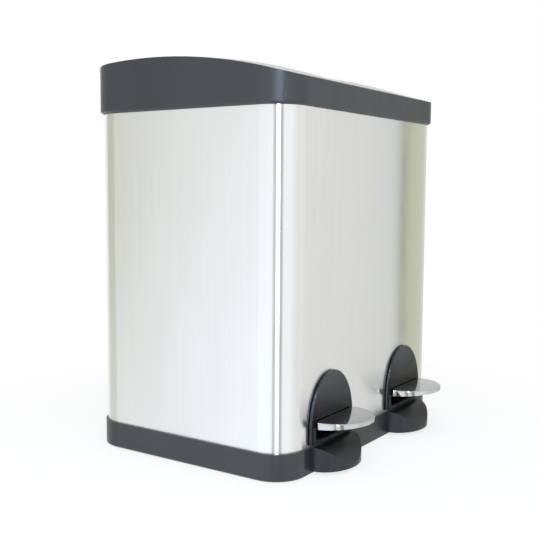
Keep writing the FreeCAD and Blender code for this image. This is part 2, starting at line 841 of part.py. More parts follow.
def domePrism(label, drop, depth, inset, x, rear="lid_rear"):
    """The space under the lid's crowned surface: lowered by drop, deep by depth, drawn in by inset."""
    half, front, back = size("well_half_width"), -size("well_front"), size("lid_rear")
    middle, reach = (front + back) / 2, (back - front) / 2
    grid = []
    for row in range(9):
        across = half * (row / 4 - 1)
        line = []
        for column in range(11):
            y = front + (back - front) * column / 10
            bulge = size("crown") * (1 - (across / half) ** 2) * (1 - ((y - middle) / reach) ** 2)
            line.append(Vector(across, y, size(archAt(f"({y})")) + bulge - size(drop)))
        grid.append(line)
    surface = Part.BSplineSurface()
    surface.interpolate(grid)
    thick = surface.toShape().extrude(Vector(0, 0, -size(depth)))
    wide, low, high = half - size(inset), front + size(inset), size(rear)
    corner = size("well_radius") - size(inset)
    plan = roundedFace(wide, low, high, corner)
    plan.translate(Vector(0, 0, size("bay_floor") - size("lobe_drop")))
    prism = plan.extrude(Vector(0, 0, 2 * size("lobe_drop") + 4 * size("past")))
    item = doc.addObject("Part::Feature", "Dome")
    item.Label = label
    item.Shape = thick.common(prism)
    setPlace(item, x)
    doc.recompute()
    return item


def roundedFace(wide, low, high, corner):
    """An oblong with round front corners and small rear ones."""
    small = size("lid_rear_corner")
    ends = [
        (Vector(corner - wide, low, 0), Vector(wide - corner, low, 0), Vector(wide, low + corner, 0), corner),
        (Vector(wide, low + corner, 0), Vector(wide, high - small, 0), Vector(wide - small, high, 0), small),
        (Vector(wide - small, high, 0), Vector(small - wide, high, 0), Vector(-wide, high - small, 0), small),
        (Vector(-wide, high - small, 0), Vector(-wide, low + corner, 0), Vector(corner - wide, low), corner),
    ]
    edges = []
    for start, stop, turned, radius in ends:
        edges.append(Part.makeLine(start, stop))
        along = (stop - start).normalize()
        away = (turned - (stop + along * radius)).normalize()
        centre = stop + away * radius
        crest = centre + (along - away).normalize() * radius
        edges.append(Part.Arc(stop, crest, turned).toShape())
    return Part.Face(Part.Wire(edges))


def makeLid(side, sign):
    x = f"{sign} * lid_x"
    whole = domePrism("panel_outside", "0", "lid_flange + past", "lid_gap", x)
    inner, rear = "lid_gap + lid_gauge", "lid_rear - lid_gauge"
    hollow = domePrism("panel_inside", "lid_gauge", "lid_flange + 3 * past", inner, x, rear)
    below = domePrism("panel_below", "lid_flange", "3 * past", "0", x, "lid_rear + past")
    shell = combine("Part::Cut", "panel_shell", [whole, hollow])
    combine("Part::Cut", f"lid_panel_{side}", [shell, below])

    rear = "lid_rear - liner_top"
    block = domePrism("liner_outside", "liner_top", "liner_depth", "liner_side", x, rear)
    top, inner = "liner_top + liner_gauge", "liner_side + liner_gauge"
    scoop = domePrism("liner_inside", top, "liner_depth + past", inner, x, "lid_rear + past")
    tray = combine("Part::Cut", "liner_tray", [block, scoop])
    room = domePrism("liner_room", "liner_top + liner_root", "lobe_drop + 8 * past", "liner_side", x, rear)
    plates = makeHingePlates(sign)
    trimmed = combine("Part::Common", "hinge_plates", [plates, room])
    combine("Part::MultiFuse", f"lid_liner_{side}", [tray, trimmed])


def camPoint(turn):
    """The cam's face is an involute: its flat-topped rod rises by lobe_radius for each radian of lid."""
    level = -size("lobe_drop") + size("lobe_radius") * turn
    reach = -size("lobe_radius")
    y = math.cos(turn) * reach - math.sin(turn) * level
    z = math.sin(turn) * reach + math.cos(turn) * level
    return Vector(size("hinge_y") + y, size("hinge_z") + z, 0)


def makeHingePlates(sign):
    """Two arms round the hinge pin and the cam over the push rod, all on one lid."""
    body = newBody("plates", f"{sign} * lid_x", many=True)
    for step in (-1, 1):
        arm = newSketch(body, "YZ_Plane", f"{step} * arm_x - arm_gauge / 2")
        low = ("hinge_y", "hinge_z - knuckle_radius")
        drawOutline(
            arm,
            [
                ("hinge_y - knuckle_radius", "hinge_z", low),
                ("hinge_y + knuckle_radius", "hinge_z"),
                ("hinge_y + knuckle_radius - 1", "summit"),
                ("hinge_y - knuckle_radius - arm_root", "summit"),
            ],
        )
        addPad(body, arm, "arm_gauge")
    cam = newSketch(body, "YZ_Plane", "-lobe_gauge / 2")
    margin = size("lobe_margin")
    first, last = math.radians(-margin), math.radians(size("lid_travel") + margin)
    turns = [first + (last - first) * step / 12 for step in range(13)]
    face = Part.BSplineCurve()
    face.interpolate([camPoint(turn) for turn in turns])
    toe, heel = camPoint(first), camPoint(last)
    knuckle = size("knuckle_radius")
    axis = Vector(size("hinge_y"), size("hinge_z"), 0)
    corners = [
        heel,
        axis + Vector(knuckle, 0, 0),
        Vector(axis.x + knuckle - 1, size("summit"), 0),
        Vector(toe.x - size("lobe_back"), size("summit"), 0),
        toe + Vector(-size("lobe_toe"), size("lobe_toe_rise"), 0),
        toe,
    ]
    curve = cam.addGeometry(face, False)
    lines = [
        cam.addGeometry(Part.LineSegment(corners[index], corners[index + 1]), False) for index in range(5)
    ]
    cam.addConstraint(Sketcher.Constraint("Coincident", curve, 2, lines[0], 1))
    for before, after in zip(lines, lines[1:]):
        cam.addConstraint(Sketcher.Constraint("Coincident", before, 2, after, 1))
    cam.addConstraint(Sketcher.Constraint("Coincident", lines[-1], 2, curve, 1))
    cam.addConstraint(Sketcher.Constraint("Block", curve))
    addPad(body, cam, "lobe_gauge")
    hole = newSketch(body, "YZ_Plane", "-(well_half_width - 1)")
    drawCircle(hole, "hinge_y", "hinge_z", "hinge_pin_radius + running_gap")
    addPocket(body, hole, "2 * (well_half_width - 1)", True)
    return body


def makeHingePin(side, sign):
    half = "(ear_x + ear_gauge / 2)"
    x = f"{sign} * lid_x - {half}"
    rod(f"lid_hinge_pin_{side}", True, "hinge_pin_radius", f"2 * {half}", x, "hinge_y", "hinge_z")


# ---- buckets ----


def bucketEdges(shrink, grow="0"):
    """The bucket's outline in plan, drawn in by its draft at a lower level, then by shrink."""
    half = f"(bucket_half_width - ({shrink}) + {grow})"
    front = f"-(bucket_front - ({shrink}) + {grow})"
    rear = f"(bucket_rear - ({shrink}) + {grow})"
    return f"-{half}", half, front, rear, f"bucket_radius - ({shrink}) + {grow}"


def addLoft(body, kind, lower, upper):
    loft = body.newObject(kind, "Loft")
    loft.Profile = lower
    loft.Sections = [upper]
    loft.Ruled = True
    doc.recompute()
    return loft


def makeBucket(side, sign):
    body = newBody(f"bucket_{side}", f"{sign} * lid_x")
    low = newSketch(body, "XY_Plane", "bucket_floor")
    drawRounded(low, *bucketEdges("bucket_draft"))
    high = newSketch(body, "XY_Plane", "bucket_top")
    drawRounded(high, *bucketEdges("0"))
    addLoft(body, "PartDesign::AdditiveLoft", low, high)
    flange = newSketch(body, "XY_Plane", "bucket_top")
    drawRounded(flange, *bucketEdges("0", "flange_reach"))
    addPad(body, flange, "flange_drop", True)
    for step in (-1, 1):
        web = newSketch(body, "XY_Plane", "bucket_top - flange_drop")
        inner, outer = "bucket_half_width", "lug_x + lug_gauge"
        ends = (f"-({outer})", f"-({inner})") if step < 0 else (inner, outer)
        drawRounded(web, *ends, "bail_y - web_half_width", "bail_y + web_half_width", "lug_flare")
        addPad(body, web, "flange_drop - lug_flare")
        lug = newSketch(body, "YZ_Plane", "lug_x" if step > 0 else "-lug_x - lug_gauge")
        top = ("bail_y", "bail_z + lug_radius")
        drawOutline(
            lug,
            [
                ("bail_y + lug_radius + lug_flare", "bucket_top - flange_drop"),
                ("bail_y + lug_radius", "bail_z", top),
                ("bail_y - lug_radius", "bail_z"),
                ("bail_y - lug_radius - lug_flare", "bucket_top - flange_drop"),
            ],
        )
        addPad(body, lug, "lug_gauge")
    bottom = newSketch(body, "XY_Plane", "bucket_floor + bucket_wall")
    drawRounded(bottom, *bucketEdges("bucket_draft + bucket_wall"))
    mouth = newSketch(body, "XY_Plane", "bucket_top")
    drawRounded(mouth, *bucketEdges("bucket_wall"))
    addLoft(body, "PartDesign::SubtractiveLoft", bottom, mouth)
    holes = newSketch(body, "YZ_Plane", "-(lug_x + lug_gauge + 1)")
    drawCircle(holes, "bail_y", "bail_z", "bail_wire + running_gap")
    addPocket(body, holes, "2 * (lug_x + lug_gauge + 1)", True)


def makeBail(side, sign):
    """A wire handle that lies back on the bucket's flange, with its ends turned out into the lugs."""
    body = newBody(f"bail_{side}", f"{sign} * lid_x")
    spine = newSketch(body, "XY_Plane", "bail_z")
    end, arm = "(lug_x + lug_gauge)", "bail_x"
    cross = "bail_y + bail_reach"
    points = [
        (f"-{end}", "bail_y"),
        (f"-{arm}", "bail_y"),
        (f"-{arm}", cross),
        (arm, cross),
        (arm, "bail_y"),
        (end, "bail_y"),
    ]
    drawPath(spine, points, [None, "bail_crank", "bail_bend", "bail_bend", "bail_crank", None], False)
    profile = newSketch(body, "YZ_Plane", f"-{end}")
    drawCircle(profile, "bail_y", "bail_z", "bail_wire")
    pipe = body.newObject("PartDesign::AdditivePipe", "Pipe")
    pipe.Profile = profile
    pipe.Spine = (spine, [])
    doc.recompute()

    grip = newBody(f"bail_grip_{side}", f"{sign} * lid_x")
    ring = newSketch(grip, "YZ_Plane", "-grip_length / 2")
    drawCircle(ring, cross, "bail_z", "grip_radius")
    drawCircle(ring, cross, "bail_z", "bail_wire")
    addPad(grip, ring, "grip_length")


# ---- pedals ----


def makeSurround(side, sign):
    body = newBody(f"pedal_surround_{side}", f"{sign} * pedal_x")
    face = newSketch(body, "XZ_Plane", "sleeve_depth / 2")
    drawHalfOval(face, "surround_half_width", "surround_bottom", "surround_shoulder", "surround_apex")
    addPad(body, face, "surround_depth")
    dress(body, "Chamfer", "surround_bevel", flatAt("Y", -size("sleeve_depth / 2 + surround_depth")))
    slot = newSketch(body, "XZ_Plane", "sleeve_depth / 2 + surround_depth + past")
    drawRounded(slot, "-slot_half_width", "slot_half_width", "slot_bottom", "slot_top", "slot_corner")
    addPocket(body, slot, "surround_depth + 2 * past")
    hollow = newSketch(body, "XZ_Plane", "sleeve_depth / 2")
    inside, foot = "slot_half_width + hollow_inset", "slot_top + hollow_foot"
    drawHalfOval(hollow, inside, foot, "surround_shoulder + hollow_shoulder", "surround_apex - surround_rim")
    addPocket(body, hollow, "surround_hollow", True)
    screws = newSketch(body, "XZ_Plane", "sleeve_depth / 2")
    places = [(f"{step} * surround_screw_x", "surround_screw_z") for step in (-1, 1)]
    boltCircles(screws, places, "screw_radius")
    addPocket(body, screws, "surround_hollow", True)


def drawPedal(sketch, inset, back):
    """Half an ellipse with a neck that narrows to pass the slot."""
    half, neck = f"(pedal_half_width - {inset})", f"(pedal_neck - {inset})"
    reach = f"(pedal_tip - pedal_widest - {inset})"
    arc = drawHalfEllipse(sketch, "0", "-pedal_widest", half, reach, False)
    waist = "-pedal_neck_end"
    closeBehind(sketch, arc, [(neck, waist), (neck, back), (f"-{neck}", back), (f"-{neck}", waist)])


def makePedal(side, sign):
    body = newBody(f"pedal_plate_{side}", f"{sign} * pedal_x")
    plan = newSketch(body, "XY_Plane", "pedal_top - pedal_skirt")
    drawPedal(plan, "0", "pedal_tail - sleeve_depth / 2")
    addPad(body, plan, "pedal_skirt")
    level, front = flatAt("Z", size("pedal_top")), -size("pedal_widest")
    dress(body, "Fillet", "pedal_edge", lambda edge: level(edge) and edge.BoundBox.YMin < front - 1)
    under = newSketch(body, "XY_Plane", "pedal_top - pedal_skirt")
    drawPedal(under, "pedal_gauge", "pedal_tail + pedal_lap - sleeve_depth / 2")
    addPocket(body, under, "pedal_skirt - pedal_gauge", True)
    taper = newSketch(body, "YZ_Plane", "-pedal_half_width - past")
    low, beyond = "pedal_top - pedal_skirt", "-(pedal_tip + past)"
    drawOutline(
        taper,
        [
            ("-pedal_neck_end", low),
            ("-pedal_neck_end", f"{low} - past"),
            (beyond, f"{low} - past"),
            (beyond, "pedal_top - pedal_lip"),
            ("-pedal_tip", "pedal_top - pedal_lip"),
        ],
    )
    addPocket(body, taper, "2 * (pedal_half_width + past)", True)


def makeLever(side, sign):
    """A cranked steel strap on a hub, with a rounded nose under the push rod."""
    body = newBody(f"pedal_lever_{side}", f"{sign} * pedal_x")
    run = newSketch(body, "YZ_Plane", "-strap_width / 2")
    half = "strap_gauge / 2"
    front, bend = "strap_tip_inset - pedal_tip", "strap_bend_inset - sleeve_depth / 2"
    knee = "axle_y - knee_reach"
    top = [
        (front, "strap_top"),
        (bend, "strap_top"),
        (knee, f"axle_z + knee_rise + {half}"),
        ("axle_y", f"axle_z + {half}"),
        ("rod_y", f"nose_z + {half}"),
    ]
    bottom = [(y, f"({z}) - strap_gauge") for y, z in reversed(top)]
    drawOutline(run, top + bottom)
    addPad(body, run, "strap_width")
    hub = newSketch(body, "YZ_Plane", "-hub_length / 2")
    drawCircle(hub, "axle_y", "axle_z", "hub_radius")
    addPad(body, hub, "hub_length")
    nose = newSketch(body, "YZ_Plane", "-strap_width / 2")
    drawCircle(nose, "rod_y", "nose_z", "nose_radius")
    addPad(body, nose, "strap_width")
    bore = newSketch(body, "YZ_Plane", "-(hub_length / 2 + past)")
    drawCircle(bore, "axle_y", "axle_z", "axle_radius + running_gap")
    addPocket(body, bore, "hub_length + 2 * past", True)


def makeAxle(side, sign):
    x = f"{sign} * pedal_x - axle_half"
    rod(f"lever_axle_{side}", True, "axle_radius", "2 * axle_half", x, "axle_y", "axle_z")
    clips = newBody(f"axle_clips_{side}", f"{sign} * pedal_x", many=True)
    near = "(rib_gap / 2 + rib_gauge + clip_gap)"
    for place in (near, f"-{near} - clip_gauge"):
        ring = newSketch(clips, "YZ_Plane", place)
        drawCircle(ring, "axle_y", "axle_z", "axle_radius + clip_reach")
        drawCircle(ring, "axle_y", "axle_z", "axle_radius")
        addPad(clips, ring, "clip_gauge")


def makeLeverRests():
    """A rubber block under each lever's nose, on the base's floor."""
    body = newBody("lever_rests", many=True)
    plan = newSketch(body, "XY_Plane", "base_floor")
    for side, sign in sides:
        middle = f"{sign} * pedal_x"
        left, right = f"{middle} - rest_half_width", f"{middle} + rest_half_width"
        drawRounded(plan, left, right, "rod_y - rest_half_depth", "rod_y + rest_half_depth", "rest_corner")
    addPad(body, plan, "nose_z - nose_radius - seat_gap - base_floor")


# ---- push rods ----


def makePushRod(side, sign):
    x = f"{sign} * pedal_x"
    foot, head = "(shoe_bottom + shoe_floor)", "(cap_top - cap_roof)"
    rod(f"push_rod_{side}", False, "rod_radius", f"{head} - {foot}", x, "rod_y", foot)
    for label, low, length, radius, bore in (
        ("rod_shoe", "shoe_bottom", "shoe_length", "shoe_radius", foot),
        ("rod_cap", "(cap_top - cap_length)", "cap_length", "cap_radius", head),
    ):
        body = newBody(f"{label}_{side}", x)
        disc = newSketch(body, "XY_Plane", low)
        drawCircle(disc, "0", "rod_y", radius)
        addPad(body, disc, length)
        hole = newSketch(body, "XY_Plane", bore)
        drawCircle(hole, "0", "rod_y", "rod_radius")
        addPocket(body, hole, length, label == "rod_shoe")


def makeGuides(side, sign):
    for label, level in (("lower_rod_guide", "lower_guide"), ("upper_rod_guide", "upper_guide")):
        body = newBody(f"{label}_{side}", f"{sign} * pedal_x")
        plan = newSketch(body, "XY_Plane", level)
        back, shoulder = "guide_back", "guide_back - guide_flange"
        wide, narrow = "guide_half_width", "(rod_radius + guide_wall)"
        corners = [
            (f"-{wide}", back),
            (f"-{wide}", shoulder),
            (f"-{narrow}", shoulder),
            (f"-{narrow}", "guide_front"),
            (narrow, "guide_front"),
            (narrow, shoulder),
            (wide, shoulder),
            (wide, back),
        ]
        drawOutline(plan, corners)
        addPad(body, plan, "guide_length")
        bore = newSketch(body, "XY_Plane", f"{level} - past")
        drawCircle(bore, "0", "rod_y", "rod_radius + running_gap")
        addPocket(body, bore, "guide_length + 2 * past", True)
        screws = newSketch(body, "XZ_Plane", "-guide_back")
        middle = f"{level} + guide_length / 2"
        boltCircles(screws, [(f"{step} * guide_screw_x", middle) for step in (-1, 1)], "screw_radius")
        addPocket(body, screws, "guide_screw", True)


# ---- screws ----


def makeScrews(label, role, seat, places, shank, forwards):
    """Pan-head screws as one group: heads on seat, shanks through it along or against the normal."""
    body = newBody(label, many=True)
    heads = newSketch(body, role, seat)
    boltCircles(heads, places, "screw_head_radius")
    addPad(body, heads, "screw_head", forwards)
    shanks = newSketch(body, role, seat)
    boltCircles(shanks, places, "screw_radius")
    addPad(body, shanks, shank, not forwards)
    return body


def makeAllScrews():
    makeScrews("guide_screws", "XZ_Plane", "-sleeve_depth / 2", guideScrews(), "guide_screw", True)
    makeScrews("surround_screws", "XZ_Plane", "guide_back", surroundScrews(), "surround_screw", True)
    for side, sign in sides:
        seat = f"{sign} * (sleeve_width / 2 - sheet_gauge)"
        makeScrews(f"collar_screws_{side}", "YZ_Plane", seat, collarScrews(), "collar_screw", sign > 0)


makeSleeve()
makeBase()
makePads()
makeCollar()
makeBuffers()
makeLeverRests()
for side, sign in sides:
    makeLid(side, sign)
    makeHingePin(side, sign)
    makeBucket(side, sign)
    makeBail(side, sign)
    makeSurround(side, sign)
    makePedal(side, sign)
    makeLever(side, sign)
    makeAxle(side, sign)
    makePushRod(side, sign)
    makeGuides(side, sign)
makeAllScrews()
doc.recompute()

# Whatever another object takes in is a step on the way and isn't a piece of its own.
used = set()
for item in doc.Objects:
    if item.TypeId in ("Part::Cut", "Part::Common"):
        used.update((item.Base.Name, item.Tool.Name))
    if item.TypeId == "Part::MultiFuse":
        used.update(part.Name for part in item.Shapes)
kinds = ("PartDesign::Body", "Part::Cylinder", "Part::Cut", "Part::Common", "Part::MultiFuse")
pieces = [item for item in doc.Objects if item.TypeId in kinds and item.Name not in used]

for item in doc.Objects:
    if "Invalid" in item.State or "Error" in item.State:
        raise ValueError(f"{item.Label} ({item.Name}) is {item.State}")
for item in pieces:
    if item.Shape.isNull() or not item.Shape.isValid():
        raise ValueError(f"{item.Label} has no valid shape")

os.makedirs("parts", exist_ok=True)
for item in pieces:
    item.Shape.exportStep(f"parts/{item.Label}.step")
    print(item.Label, len(item.Shape.Solids), "solids", round(item.Shape.Volume), "mm3")
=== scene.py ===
import json
import math

import bpy
from mathutils import Matrix, Vector


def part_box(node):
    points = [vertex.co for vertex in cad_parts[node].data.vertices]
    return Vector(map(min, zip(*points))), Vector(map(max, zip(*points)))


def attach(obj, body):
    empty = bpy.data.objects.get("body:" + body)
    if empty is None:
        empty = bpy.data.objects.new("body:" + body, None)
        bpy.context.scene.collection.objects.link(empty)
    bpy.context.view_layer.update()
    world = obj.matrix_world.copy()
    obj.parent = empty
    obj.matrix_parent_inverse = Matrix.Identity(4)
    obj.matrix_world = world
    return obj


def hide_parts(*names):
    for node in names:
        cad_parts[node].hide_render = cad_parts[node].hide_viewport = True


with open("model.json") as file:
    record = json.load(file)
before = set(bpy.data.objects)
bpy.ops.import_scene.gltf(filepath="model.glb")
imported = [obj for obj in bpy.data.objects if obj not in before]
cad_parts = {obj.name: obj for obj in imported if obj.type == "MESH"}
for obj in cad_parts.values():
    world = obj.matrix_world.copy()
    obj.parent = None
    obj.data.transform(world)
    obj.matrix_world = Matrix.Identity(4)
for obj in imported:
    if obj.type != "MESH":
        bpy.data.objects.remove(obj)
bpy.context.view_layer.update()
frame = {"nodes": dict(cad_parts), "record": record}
nodes = frame["nodes"]
sides = ("left", "right")
bpy.ops.object.select_all(action="DESELECT")

# metres throughout, X to the right as one faces the pedals, the pedals towards -Y

# faces that meet at less than this angle are shaded as one
smoothBelow = math.radians(35)

# the photograph's camera, fitted to the bin's outline
view = {
    "place": Vector((-0.9584, -0.6156, 0.3273)),
    "yaw": 0.9759,
    "pitch": -0.0948,
    "roll": 0.0057,
    "lens": 56.60,
    "sensor": 36,
}


def makeCamera():
    bpy.ops.object.camera_add(location=view["place"])
    camera = bpy.context.object
    camera.name = "photoCamera"
    turn = Matrix.Rotation(-view["yaw"], 3, "Z")
    tilt = Matrix.Rotation(math.pi / 2 + view["pitch"], 3, "X")
    camera.rotation_euler = (turn @ tilt @ Matrix.Rotation(view["roll"], 3, "Z")).to_euler()
    camera.data.lens = view["lens"]
    camera.data.sensor_width = view["sensor"]
    bpy.context.scene.camera = camera
    return camera


camera = makeCamera()
print("camera stands at", tuple(round(n, 3) for n in camera.location))


class NodeTree:
    # short calls for the nodes of one material or of the world

    def __init__(self, owner):
        owner.use_nodes = True
        self.tree = owner.node_tree

    def add(self, kind, **inputs):
        node = self.tree.nodes.new(kind)
        for name, value in inputs.items():
            node.inputs[name].default_value = value
        return node

    def link(self, output, target):
        self.tree.links.new(output, target)

    def feed(self, socket, value):
        # value is a number, a colour or the output that gives one
        if isinstance(value, tuple):
            socket.default_value = (*value, 1)
        elif isinstance(value, (int, float)):
            socket.default_value = value
        else:
            self.link(value, socket)

    def maths(self, operation, first, second=0.0):
        node = self.add("ShaderNodeMath")
        node.operation = operation
        self.feed(node.inputs[0], first)
        self.feed(node.inputs[1], second)
        return node.outputs[0]

    def ramp(self, source, low, high, fromLow=0.3, fromHigh=0.7, course="LINEAR"):
        # noise hardly leaves the range from 0.3 to 0.7
        node = self.add("ShaderNodeMapRange")
        node.interpolation_type = course
        limits = {"From Min": fromLow, "From Max": fromHigh, "To Min": low, "To Max": high}
        for socket, value in limits.items():
            node.inputs[socket].default_value = value
        self.link(source, node.inputs["Value"])
        return node.outputs["Result"]

    def mix(self, share, first, second, blend="MIX"):
        node = self.add("ShaderNodeMix")
        node.data_type = "RGBA"
        node.blend_type = blend
        # a Mix node for colours has them at its sockets 6 and 7 and gives its own at 2
        self.feed(node.inputs[0], share)
        self.feed(node.inputs[6], first)
        self.feed(node.inputs[7], second)
        return node.outputs[2]

    def mixShaders(self, share, first, second):
        node = self.add("ShaderNodeMixShader")
        for socket, output in zip(node.inputs, (share, first, second)):
            self.link(output, socket)
        return node.outputs[0]


class Finish(NodeTree):
    # one material with its Principled shader

    def __init__(self, name, colour, rough, metal=0.0):
        self.material = bpy.data.materials.new(name)
        super().__init__(self.material)
        self.shader = self.tree.nodes["Principled BSDF"]
        self.place = self.add("ShaderNodeTexCoord").outputs["Object"]
        self.bumps = None
        self.set("Base Color", (*colour, 1))
        self.set("Roughness", rough)
        self.set("Metallic", metal)
        self.material.diffuse_color = (*colour, 1)

    def set(self, socket, value):
        self.shader.inputs[socket].default_value = value

    def surface(self, output):
        self.link(output, self.tree.nodes["Material Output"].inputs["Surface"])

    def noise(self, scale, detail=3.0, stretch=(1, 1, 1)):
        # noise over the object's own coordinates, scaled apart along each axis
        spread = self.add("ShaderNodeMapping")
        spread.inputs["Scale"].default_value = stretch
        self.link(self.place, spread.inputs["Vector"])
        node = self.add("ShaderNodeTexNoise", Scale=scale, Detail=detail)
        self.link(spread.outputs["Vector"], node.inputs["Vector"])
        return node.outputs["Fac"]

    def vary(self, source, dark, light):
        # the colour wanders between two tones
        self.link(self.mix(self.ramp(source, 0, 1), dark, light), self.shader.inputs["Base Color"])

    def roughen(self, source, low, high):
        self.link(self.ramp(source, low, high), self.shader.inputs["Roughness"])

    def shade(self, axis, start, end, low, high):
        # painted shade and sheen: the colour grows lighter from one place to another along an axis
        along = self.add("ShaderNodeSeparateXYZ")
        self.link(self.place, along.inputs[0])
        scaled = self.add("ShaderNodeVectorMath")
        scaled.operation = "SCALE"
        self.link(self.shader.inputs["Base Color"].links[0].from_socket, scaled.inputs[0])
        self.link(self.ramp(along.outputs[axis], low, high, start, end), scaled.inputs["Scale"])
        self.link(scaled.outputs[0], self.shader.inputs["Base Color"])

    def bump(self, source, strength, depth):
        node = self.add("ShaderNodeBump", Strength=strength, Distance=depth)
        self.link(source, node.inputs["Height"])
        if self.bumps:
            self.link(self.bumps, node.inputs["Normal"])
        self.bumps = node.outputs["Normal"]
        self.link(self.bumps, self.shader.inputs["Normal"])


# waves to a metre, and each bump's strength and depth
moulding = {"bloom": 9, "handled": 54, "sinks": 24, "sinkBump": (0.05, 0.0006), "grainBump": (0.10, 0.0002)}
# the streaks are drawn out along the sheet, and the turn is a share of a whole turn
brushing = {"streaks": 420, "drawn": 0.012, "clouds": 12, "bump": (0.015, 0.00003), "turn": 0.25}
patina = {"darker": 0.88, "bump": (0.05, 0.0002)}
rubber = {"colour": (0.02, 0.02, 0.021), "bloom": 70, "grain": 1500, "bump": (0.35, 0.0003)}


def mouldedPlastic(name, dark, light, rough, grain, shine=0.5, fading=()):
    # satin moulding: a fine spark-eroded grain over slow sinks, and bands where it was handled
    finish = Finish(name, light, rough[0])
    finish.set("Specular IOR Level", shine)
    finish.vary(finish.noise(moulding["bloom"], detail=4), dark, light)
    # painted shade and sheen along an axis, where one is given
    if fading:
        finish.shade(*fading)
    finish.roughen(finish.noise(moulding["handled"], detail=4), *rough)
    finish.bump(finish.noise(grain, detail=2), *moulding["grainBump"])
    finish.bump(finish.noise(moulding["sinks"], detail=1), *moulding["sinkBump"])
    return finish.material


def brushedSteel(name, dark, light, rough, along, drawnOut=0.0):
    # the brushing runs along one axis, where the noise is drawn out
    stretch = tuple(brushing["drawn"] if axis == along else 1.0 for axis in "XYZ")
    finish = Finish(name, light, rough[0], 1.0)
    streaks = finish.noise(brushing["streaks"], stretch=stretch)
    finish.vary(streaks, dark, light)
    finish.roughen(finish.noise(brushing["clouds"], detail=2), *rough)
    finish.bump(streaks, *brushing["bump"])
    # the rolled sheet of an upright wall draws every reflection out upright
    finish.set("Anisotropic", drawnOut)
    finish.set("Anisotropic Rotation", brushing["turn"])
    return finish.material


def plainMetal(name, colour, rough, grain=180):
    finish = Finish(name, colour, rough[0], 1.0)
    cloud = finish.noise(grain, detail=4)
    finish.vary(cloud, tuple(patina["darker"] * tone for tone in colour), colour)
    finish.roughen(finish.noise(grain / 3), *rough)
    finish.bump(cloud, *patina["bump"])
    return finish.material


def softRubber(name, dark, light, rough):
    finish = Finish(name, rubber["colour"], rough)
    finish.vary(finish.noise(rubber["bloom"], detail=5), dark, light)
    finish.bump(finish.noise(rubber["grain"], detail=2), *rubber["bump"])
    return finish.material


# how far behind a surround's front its near-black strip of painted shadow starts, the share of its height
# below which its face holds its darkest painted shade, and how little its flank faces forwards
surround = {"gasketStart": 0.0040, "darkBelow": 0.42, "flank": 0.7}
# how far the toes stand out from the base's front wall, how far from it their tops are painted darker as
# shade, and how much those face upwards
toe = {"reach": 0.0325, "fadeStart": 0.032, "fadeEnd": 0.008, "topSlope": 0.12}
surroundLow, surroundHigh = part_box("pedal_surround_left")
# where the near-black strip of painted shadow starts on each surround
paintedShadowFront = surroundLow.y + surround["gasketStart"]
paintedShadeTop = surroundLow.z + surround["darkBelow"] * (surroundHigh.z - surroundLow.z)
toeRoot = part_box("base_moulding")[0].y + toe["reach"]

# painted shade and sheen: axis, start, end, share of the colour at the start and at the end
# a surround's face is painted darker at the bottom as shade and lighter towards the top as sheen
surroundPaintedShading = ("Z", paintedShadeTop, surroundHigh.z, 0.12, 1.0)
# a toe's top is painted darker towards the base's wall, as shade under the pedal
toePaintedShade = ("Y", toeRoot - toe["fadeStart"], toeRoot - toe["fadeEnd"], 1.0, 0.3)


def grey(tone):
    return (tone, tone, tone)


# dark and light tone, roughness from and to, grains to a metre, shine and painted shading along an axis
black, lit = (0.021, 0.0235, 0.027), (0.027, 0.030, 0.034)
plastics = {
    "collarPlastic": (black, lit, (0.33, 0.42), 2600),
    "basePlastic": (black, lit, (0.28, 0.36), 2400),
    # a toe's top and walls are darker copies of the base plastic, painted shade under the pedal
    "toePlastic": ((0.021, 0.022, 0.023), (0.027, 0.028, 0.029), (0.28, 0.36), 2400, 0.18, toePaintedShade),
    "toeWallPlastic": ((0.016, 0.018, 0.022), (0.020, 0.022, 0.026), (0.28, 0.36), 2400, 0.34),
    # a surround's face is a lighter copy of the black plastic, with its sheen painted into its colour
    "surroundPlastic": (
        (0.058, 0.060, 0.062), (0.074, 0.076, 0.078), (0.22, 0.30), 2400, 0.10, surroundPaintedShading
    ),
    "surroundRimPlastic": ((0.014, 0.016, 0.021), (0.020, 0.022, 0.027), (0.24, 0.32), 2400),
    # a near-black strip of painted shadow where a surround meets the sleeve, not a real gasket
    "gasketRubber": (grey(0.003), grey(0.005), (0.7, 0.8), 1500, 0.04),
    "linerPlastic": ((0.05, 0.05, 0.051), (0.065, 0.065, 0.066), (0.45, 0.55), 1900),
    "bucketPlastic": ((0.075, 0.077, 0.08), (0.10, 0.102, 0.105), (0.42, 0.55), 1500),
    "gripPlastic": (grey(0.03), grey(0.045), (0.4, 0.5), 1900),
    "guidePlastic": ((0.62, 0.61, 0.58), (0.70, 0.69, 0.66), (0.35, 0.45), 1900),
}
# dark and light tone, roughness from and to, axis of the brushing, how far it draws reflections out
sheetSteels = {
    "brushedSleeveSteel": ((0.755, 0.762, 0.750), (0.775, 0.780, 0.770), (0.22, 0.27), "Z", 0.94),
    "brushedLidSteel": ((0.70, 0.705, 0.695), (0.775, 0.780, 0.770), (0.26, 0.32), "Y"),
}
# colour, roughness from and to, blotches to a metre
metals = {
    "polishedPedalSteel": ((0.56, 0.565, 0.57), (0.05, 0.10), 60),
    "bailWire": ((0.62, 0.62, 0.63), (0.18, 0.28)),
    "galvanisedStrap": ((0.52, 0.53, 0.54), (0.34, 0.5), 90),
    "pushRodSteel": ((0.58, 0.58, 0.59), (0.2, 0.32)),
    "pinSteel": ((0.55, 0.55, 0.56), (0.16, 0.26)),
    "clipSteel": ((0.30, 0.30, 0.31), (0.25, 0.4)),
    "screwSteel": ((0.60, 0.60, 0.61), (0.18, 0.3)),
}
# dark and light tone, roughness
rubbers = {"footRubber": ((0.014, 0.014, 0.015), (0.03, 0.03, 0.031), 0.8)}

finishes = {}
makes = ((softRubber, rubbers), (mouldedPlastic, plastics), (brushedSteel, sheetSteels), (plainMetal, metals))
for make, kinds in makes:
    for name, settings in kinds.items():
        finishes[name] = make(name, *settings)
print("finishes made:", len(finishes))

